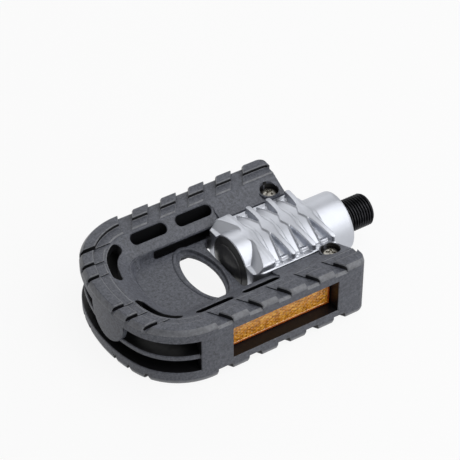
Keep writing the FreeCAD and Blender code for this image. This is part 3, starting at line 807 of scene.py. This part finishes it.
for side in (1, -1):
    bore_levels = [(0.04, counterbore_floor), (0.04, 9.6), (0.3, 13.0)]
    cutters.append(strip_mesh("counterbore_tool", [
        level_ring(screw_place.x, side * abs(screw_place.y), bore_radius + grow, height, 48)
        for grow, height in bore_levels]))
    levels = []
    for grow, shift in ((0.0, -12.0), (0.0, -0.4), (0.4, 0.0), (0.4, 2.0)):
        near, far, high = bay_near_y - grow, bay_far_y + grow, bay_half_height + grow
        corners = [(near, -high), (far, -high), (far, high), (near, high)]
        levels.append([(inboard_x + shift, side * y, height) for y, height in corners])
    cutters.append(strip_mesh("arm_end_tool", levels))
    levels = []
    for y in (18.0, 20.7):
        swing = []
        arcs = [(groove_far_radius, range(183, 275, 6)), (groove_near_radius, range(273, 176, -6))]
        for radius, angles in arcs:
            for angle in map(math.radians, angles):
                swing.append((pivot_x + radius * math.cos(angle), side * y, radius * math.sin(angle)))
        levels.append(swing)
    cutters.append(strip_mesh("lug_groove_tool", levels))


def closed_piece(name, made):
    """An object with faces that look outwards, ready to cut or to be cut."""
    shape = bmesh.new()
    shape.from_mesh(made)
    bmesh.ops.recalc_face_normals(shape, faces=shape.faces)
    shape.to_mesh(made)
    shape.free()
    return linked(name, made)


def cut_away(piece, tools):
    """The piece without what the tools take away, and the tools removed."""
    group = bpy.data.collections.new(piece.name + "_tools")
    bpy.context.scene.collection.children.link(group)
    for tool in tools:
        group.objects.link(tool)
    change = piece.modifiers.new("change", "BOOLEAN")
    change.operation = "DIFFERENCE"
    change.solver = "EXACT"
    change.operand_type = "COLLECTION"
    change.collection = group
    change.use_hole_tolerant = True
    bpy.context.view_layer.update()
    changed = piece.evaluated_get(bpy.context.evaluated_depsgraph_get())
    result = bpy.data.meshes.new_from_object(changed)
    piece.modifiers.clear()
    piece.data = result
    for tool in tools:
        bpy.data.objects.remove(tool)
    bpy.data.collections.remove(group)


# The web between the arms, with its oval hole and the hole's raised lip
web_edge_x = inboard_x - bay_run
web_inset = 19.2
hole_x = -66.6
hole_half_length = 7.7
hole_half_width = 16.5
trough_end_x = web_edge_x + 6.0
trough_near_y = 17.6
trough_far_y = 21.0


def oval(grow, count=96):
    """The hole's outline, a little more pointed at its long ends than an ellipse."""
    points = []
    for angle in even_turns(count):
        across = math.copysign(abs(math.sin(angle)) ** 1.12, math.sin(angle))
        x = hole_x + (hole_half_length + grow) * math.cos(angle)
        points.append((x, (hole_half_width + grow) * across))
    return points


# How far the web reaches towards the barrel, from the cap's swing out to the arm
swing_gap = [(0.0, 13.2), (0.6, 14.8), (1.8, 16.0), (2.9, 17.0), (2.9, half_width - web_inset)]
web_runs = [run for run in spaced if run > bay_run + 1.0][::3] + [end_run]
web_outline = [(web_edge_x + shift, y) for shift, y in swing_gap]
web_outline += [place(run, web_inset) for run in web_runs]
web_outline += [(x, -y) for x, y in web_outline[-2::-1]]
web_levels = []
for bevel, height in ((0.35, -web_top), (0.0, -web_top + 0.35), (0.0, web_top - 0.35), (0.35, web_top)):
    web_levels.append([(x - (bevel if x >= web_edge_x else 0.0), y, height) for x, y in web_outline])
web = closed_piece("cage_web", strip_mesh("cage_web", web_levels))
hole_levels = [[(x, y, height) for x, y in oval(0.8)] for height in (-4.0, 4.0)]
hole_tool = closed_piece("hole_tool", strip_mesh("hole_tool", hole_levels))
trough_tools = []
for side in (1, -1):
    for low_z, high_z in ((0.5, 3.0), (-3.0, -0.5)):
        corners = [(trough_end_x, trough_near_y), (trough_end_x, trough_far_y), (slit_end_x, trough_far_y),
                   (slit_end_x, trough_near_y + 0.4), (slit_end_x + 0.8, trough_near_y)]
        levels = [[(x, side * y, height) for x, y in corners] for height in (low_z, high_z)]
        trough_tools.append(closed_piece("trough_tool", strip_mesh("trough_tool", levels)))
cut_away(web, [hole_tool] + trough_tools)

lip_section = [(1.9, 1.9), (1.75, 2.15), (1.35, 2.4), (0.6, 2.5), (0.15, 2.4), (0.0, 2.1), (0.0, 1.1),
               (-0.2, 0.85), (-1.3, 0.75), (-1.5, 0.5)]
lip_section += [(grow, -height) for grow, height in lip_section[::-1]]
lip_levels = [[(x, y, height) for x, y in oval(grow)] for grow, height in lip_section]
lip = finished("cage_hole_lip", spoke_mesh("cage_hole_lip", lip_levels, closed=True))

tab_half_width = 11.0
tab_drop = 13.2
tab_y = -4.5
tab_levels = []
for inset, share in ((2.2, 0.0), (2.2, 1.0), (1.1, 1.0), (0.55, 0.975), (0.4, 0.94), (0.4, 0.0)):
    level = []
    narrowed = 0.5 + 0.5 * share if share else 0.97
    for step in range(41):
        y = tab_half_width * narrowed * math.sin(math.pi / 2 * (step / 20 - 1))
        drop = tab_drop * math.sqrt(max(1.0 - (y / tab_half_width) ** 2, 0.0)) * share
        across = tab_y + y
        level.append((bow_x - math.sqrt((bow_radius - inset) ** 2 - across ** 2), across,
                      recess_half_height + 0.4 - drop - 0.4 * share))
    tab_levels.append(level)
tab = finished("cage_tab", strip_mesh("cage_tab", tab_levels))

cut_away(rim, [closed_piece("tool", made) for made in cutters])
cage_pieces = [rim, web, lip, tab]
collar_wall = 0.85
collar_foot = 6.5
collar_flat_y = 18.66
collar_profile = [(0.0, collar_foot), (0.0, collar_top - 0.2), (0.12, collar_top - 0.04), (0.3, collar_top),
                  (0.55, collar_top), (0.72, collar_top - 0.05), (0.82, collar_top - 0.25),
                  (collar_wall, collar_foot)]
for side in ("left", "right"):
    facing = 1 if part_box("keeper_screw_" + side)[0].y > 0 else -1
    levels = []
    for grow, height in collar_profile:
        nearest_y = collar_flat_y + 0.05 * (collar_wall - grow)
        level = level_ring(screw_place.x, abs(screw_place.y), bore_radius + grow, height, 72)
        levels.append([(x, facing * max(y, nearest_y), z) for x, y, z in level])
    name = "cage_collar_" + side
    cage_pieces.append(finished(name, spoke_mesh(name, levels, closed=True)))

nylon_colour = (0.079, 0.084, 0.102)
cage_nylon, tree, shader = new_surface("cage_nylon_grained", nylon_colour, 0.5)
speckle = grain(tree, 1.1, detail=3.0)
speckle.inputs["Roughness"].default_value = 0.8
tone(tree, shader, speckle, shade(nylon_colour, 0.45), shade(nylon_colour, 1.6))
pebble = grain(tree, 0.32, detail=3.0)
roughen(tree, shader, pebble, 0.42, 0.6)
raise_by(tree, shader, pebble, 0.05, 0.7)
# A lighter, glossier nylon on the lugs' sloped edges and bevels: a painted highlight where the lamps catch
# them.
highlight_colour = (0.15, 0.155, 0.17)
painted_edge_highlight, tree, shader = new_surface("cage_nylon_painted_highlight", highlight_colour, 0.36)
highlight_grain = grain(tree, 1.4, detail=5.0)
tone(tree, shader, highlight_grain, shade(highlight_colour, 0.7), shade(highlight_colour, 1.25))
roughen(tree, shader, highlight_grain, 0.3, 0.46)
# A near-black nylon for the channel, windows, slots, slits, bores and the lugs' ends: painted shade.
painted_shade_colour = (0.006, 0.006, 0.007)
painted_shade_nylon, tree, shader = new_surface("cage_nylon_painted_shade", painted_shade_colour, 0.4)
shader.inputs["Specular IOR Level"].default_value = 0.3
roughen(tree, shader, grain(tree, 1.5, (1.0, 1.0, 0.2)), 0.34, 0.5)


def in_recess(centre):
    """Whether a face lies in the channel, a window, a slot or a slit, which are given painted shade."""
    inset = inset_at(centre.x, centre.y)
    height = abs(centre.z)
    side_recess = 0.3 < inset < 14.0 and height < recess_half_height + 0.01
    rib_edge = inset < 1.7 and abs(centre.z + rib_drop) <= rib_half_height + 0.05 and centre.x < corner_x
    deepest_lit = shelf_height(inset) if centre.x < inboard_x - 0.6 else 8.2
    slot = 2.0 < inset < shelf_inset - 0.1 and height < deepest_lit - 0.45
    return (side_recess and not rib_edge) or slot


def paint_of_face(face):
    """A rim face's material: painted shade in recesses and on the lugs' ends, a painted highlight on sloped
    edges.
    """
    centre = face.center / MM
    inset = inset_at(centre.x, centre.y)
    if in_recess(centre):
        return 1
    if abs(centre.z) < 10.9 or inset > rim_band:
        return 0
    upright = abs(face.normal.z) < 0.2
    if upright and abs(centre.z) > rim_top and centre.x < inboard_x - 0.6 and inset > 0.5:
        return 1
    return 2 if abs(face.normal.z) < 0.93 else 0


for piece in cage_pieces:
    piece.data.materials.clear()
    for material in (cage_nylon, painted_shade_nylon, painted_edge_highlight):
        piece.data.materials.append(material)
    for face in piece.data.polygons:
        face.use_smooth = True
        # Faces inside a collar's bore get the painted shade.
        in_bore = "collar" in piece.name and face.normal.x * (face.center.x / MM - screw_place.x) < -0.02
        face.material_index = paint_of_face(face) if piece is rim else int(in_bore)
    piece.data.set_sharp_from_angle(angle=math.radians(32.0))
    even = piece.modifiers.new("even", "WEIGHTED_NORMAL")
    even.keep_sharp = True
    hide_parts("cage")
    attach(piece, "cage")

# Keeper screws
# Zinc-plated steel screws with pan heads and a cross recess, one in a counterbore at each arm's end. Each
# holds a keeper block in its arm.

zinc = turned_steel("zinc_plate", (0.38, 0.365, 0.33), 0.28, 0.2)
head_radius = (screw_high.x - screw_low.x) / 2
head_top = screw_high.z
shank_radius = 1.9
recess_depth = 1.1
head_steps = 36


def head_height(radius, across, along):
    """The pan head's height at a place, with its cross recess."""
    share = radius / head_radius
    near, far = sorted((abs(across), abs(along)))
    arm = min(max((0.5 - near) / 0.12, 0.0), 1.0) * min(max((2.1 - far) / 0.3, 0.0), 1.0)
    heart = min(max((1.0 - 0.75 * (near + far)) / 0.12, 0.0), 1.0)
    recess = recess_depth * max(arm, heart) * (1.0 - 0.12 * far)
    return head_top - 0.75 * share ** 4 - 0.15 * share ** 2 - recess


for side, turned_by in (("left", 0.35), ("right", 0.9)):
    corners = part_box("keeper_screw_" + side)
    middle_x, middle_y = [(corners[0][axis] + corners[1][axis]) / 2 / MM for axis in (0, 1)]
    levels = [(0.0, screw_low.z), (shank_radius - 0.4, screw_low.z), (shank_radius, screw_low.z + 0.5),
              (shank_radius, counterbore_floor), (head_radius, counterbore_floor)]
    levels += [(head_radius * (1.0 - step / head_steps), None) for step in range(head_steps + 1)]
    rings = []
    for radius, height in levels:
        level = []
        for turn in even_turns(120):
            across, along = radius * math.cos(turn), radius * math.sin(turn)
            z = head_height(radius, across, along) if height is None else height
            x = middle_x + radius * math.cos(turn + turned_by)
            y = middle_y + radius * math.sin(turn + turned_by)
            level.append((x, y, z))
        rings.append(level)
    screw = finished("screw_" + side, spoke_mesh("screw_" + side, rings))
    screw.data.materials.append(zinc)
    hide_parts("keeper_screw_" + side)
    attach(screw, "cage")

# Reflectors
# A moulded amber lens with small prisms in each side window, and an orange plate behind it. Both are pressed
# in from outside, against the window's ledge.

amber_colour = (0.8, 0.3, 0.018)
amber, tree, shader = new_surface("amber_lens_prismatic", amber_colour, 0.16)
# The cells paint the prisms' glints into the colour, as lighter and darker amber: painted highlights.
glint_cells = grain(tree, 1.1, (1.0, 1.0, 0.8), kind="ShaderNodeTexVoronoi")
painted_glints = [(0.15, shade(amber_colour, 0.6)), (0.5, amber_colour), (0.95, (1.0, 0.52, 0.07))]
tree.links.new(ramp(tree, glint_cells.outputs["Color"], painted_glints), shader.inputs["Base Color"])
shader.inputs["Coat Weight"].default_value = 0.6
shader.inputs["Coat Roughness"].default_value = 0.08
lens_edge, tree, shader = new_surface("amber_lens_edge", (0.3, 0.055, 0.01), 0.2)
tone(tree, shader, grain(tree, 2.5), (0.34, 0.06, 0.01), (0.62, 0.14, 0.015))
backing, tree, shader = new_surface("reflector_plate_orange", (0.5, 0.1, 0.01), 0.35)
roughen(tree, shader, grain(tree, 2.0), 0.3, 0.45)
prism_pitch = 1.5
prism_depth = 0.3
lens_border = 1.0
lens_bevel = 0.2
lens_reach = 1.8  # how much further inboard the lens goes than the solid's, with the longer window
spans_x, spans_z = 150, 48


def prism_relief(across, up):
    """How far a place on the lens lies under its border: small prisms in three directions."""
    waves = []
    for angle in (0.0, 60.0, 120.0):
        along = (across * math.cos(math.radians(angle)) + up * math.sin(math.radians(angle))) / prism_pitch
        waves.append(abs(along % 1.0 - 0.5) * 2.0)
    return 0.15 + prism_depth * min(waves)


def from_edge(x, z, low, high):
    return min(x - low.x, high.x - x, z - low.z, high.z - z)


for side in ("left", "right"):
    lens_low, lens_high = [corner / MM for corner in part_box("reflector_lens_" + side)]
    lens_high.x += lens_reach
    facing = 1 if lens_low.y > 0 else -1
    front_y, back_y = sorted((lens_low.y, lens_high.y), key=abs, reverse=True)
    lens_mesh = bmesh.new()
    grid = []
    for step_x in range(spans_x + 1):
        column = []
        for step_z in range(spans_z + 1):
            x = lens_low.x + (lens_high.x - lens_low.x) * step_x / spans_x
            z = lens_low.z + (lens_high.z - lens_low.z) * step_z / spans_z
            inside = from_edge(x, z, lens_low, lens_high)
            sunk = prism_relief(x, z) if inside > lens_border else 0.0
            if inside < lens_bevel:
                sunk = lens_bevel
            column.append(lens_mesh.verts.new(Vector((x, front_y - facing * sunk, z)) * MM))
        grid.append(column)
    for step_x in range(spans_x):
        for step_z in range(spans_z):
            face = lens_mesh.faces.new((grid[step_x][step_z], grid[step_x + 1][step_z],
                                        grid[step_x + 1][step_z + 1], grid[step_x][step_z + 1]))
            centre = face.calc_center_median() / MM
            border = from_edge(centre.x, centre.z, lens_low, lens_high) < lens_border
            face.material_index = 1 if border else 0
    rim_edges = [edge for edge in lens_mesh.edges if edge.is_boundary]
    sides = bmesh.ops.extrude_edge_only(lens_mesh, edges=rim_edges)["geom"]
    for vert in sides:
        if isinstance(vert, bmesh.types.BMVert):
            vert.co.y = back_y * MM
    bmesh.ops.holes_fill(lens_mesh, edges=[edge for edge in lens_mesh.edges if edge.is_boundary], sides=0)
    made = bpy.data.meshes.new("lens_" + side)
    lens_mesh.to_mesh(made)
    lens_mesh.free()
    lens = finished("lens_" + side, made, 20.0)
    lens.data.materials.append(amber)
    lens.data.materials.append(lens_edge)
    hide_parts("reflector_lens_" + side)
    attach(lens, "cage")
    dress(backing, "reflector_backing_" + side)

# Studio
# A pale floor under the lugs and a plain white world, with three soft lamps. The world is darker overhead in
# what the metal mirrors, as above a product table.


def combined(tree, operation, first, second):
    """Two values put together. The second is a node's output or a plain number."""
    node = tree.nodes.new("ShaderNodeMath")
    node.operation = operation
    tree.links.new(first, node.inputs[0])
    if isinstance(second, float):
        node.inputs[1].default_value = second
    else:
        tree.links.new(second, node.inputs[1])
    return node.outputs["Value"]


def seen_share(tree, share, kinds=("Is Camera Ray", "Is Glossy Ray", "Is Transmission Ray")):
    """The given share for the kinds of rays that are named, else nothing."""
    path = tree.nodes.new("ShaderNodeLightPath")
    total = path.outputs[kinds[0]]
    for kind in kinds[1:]:
        total = combined(tree, "MAXIMUM", total, path.outputs[kind])
    return combined(tree, "MULTIPLY", total, share)


floor_z = cad_box[0][2]
floor_mesh = bpy.data.meshes.new("floor")
reach = 1.2
floor_mesh.from_pydata([(-reach, -reach, floor_z), (reach, -reach, floor_z), (reach, reach, floor_z),
                        (-reach, reach, floor_z)], [], [(0, 1, 2, 3)])
floor = linked("floor", floor_mesh)
floor_white, tree, shader = new_surface("floor_white", (0.72, 0.72, 0.72), 0.8)
glow = tree.nodes.new("ShaderNodeEmission")
glow.inputs["Strength"].default_value = 1.0
mixed = tree.nodes.new("ShaderNodeMixShader")
background_share = 0.9
output = tree.nodes["Material Output"]
share = seen_share(tree, background_share)
tree.links.new(share, mixed.inputs["Fac"])
tree.links.new(shader.outputs["BSDF"], mixed.inputs[1])
tree.links.new(glow.outputs["Emission"], mixed.inputs[2])
tree.links.new(mixed.outputs["Shader"], output.inputs["Surface"])
floor.data.materials.append(floor_white)

world = bpy.data.worlds.new("studio")
bpy.context.scene.world = world
world.use_nodes = True
world_tree = world.node_tree
background = world_tree.nodes["Background"]
background.inputs["Color"].default_value = (1.0, 1.0, 1.0, 1.0)
world_light = 0.24
ceiling_light = 0.22
direction = world_tree.nodes.new("ShaderNodeTexCoord")
parts = world_tree.nodes.new("ShaderNodeSeparateXYZ")
world_tree.links.new(direction.outputs["Generated"], parts.inputs["Vector"])
room = spread(world_tree, parts.outputs["Z"], 1.0, ceiling_light, 0.1, 0.62)
mirrored = combined(world_tree, "MULTIPLY", room, seen_share(world_tree, 1.0, ("Is Glossy Ray",)))
clear = seen_share(world_tree, 1.0, ("Is Camera Ray", "Is Transmission Ray"))
strength = combined(world_tree, "MAXIMUM", mirrored, clear)
lit = spread(world_tree, strength, world_light, 1.0, world_light, 1.0)
world_tree.links.new(lit, background.inputs["Strength"])


def lamp(name, place, target, size, power):
    light = bpy.data.lights.new(name, "AREA")
    light.shape = "RECTANGLE"
    light.size, light.size_y = size
    light.energy = power
    holder = linked(name, light)
    holder.location = place
    holder.rotation_euler = (target - Vector(place)).to_track_quat("-Z", "Y").to_euler()


middle = Vector((-0.05, 0.0, 0.0))
lamp("key_lamp", (0.27, -0.22, 0.62), middle, (0.85, 0.85), 4.4)
lamp("side_lamp", (0.08, -0.62, 0.28), middle, (0.6, 0.4), 0.8)
lamp("back_lamp", (0.1, 0.55, 0.45), middle, (0.5, 0.4), 0.8)

# Camera
# The photograph's view, from above the pedal's outboard end, as fitted to the pedal's own edges. It is a long
# lens on a full-frame sensor.

camera_data = bpy.data.cameras.new("camera")
camera_data.sensor_width = 36.0
camera_data.lens = 144.67
camera = linked("camera", camera_data)
camera.location = Vector((-356.32, -473.58, 501.14)) * MM
camera.rotation_euler = Vector((0.40902, 0.63955, -0.6509)).to_track_quat("-Z", "Y").to_euler()
camera_data.clip_start = 0.01
bpy.context.scene.camera = camera
bpy.context.scene.view_settings.view_transform = "Standard"
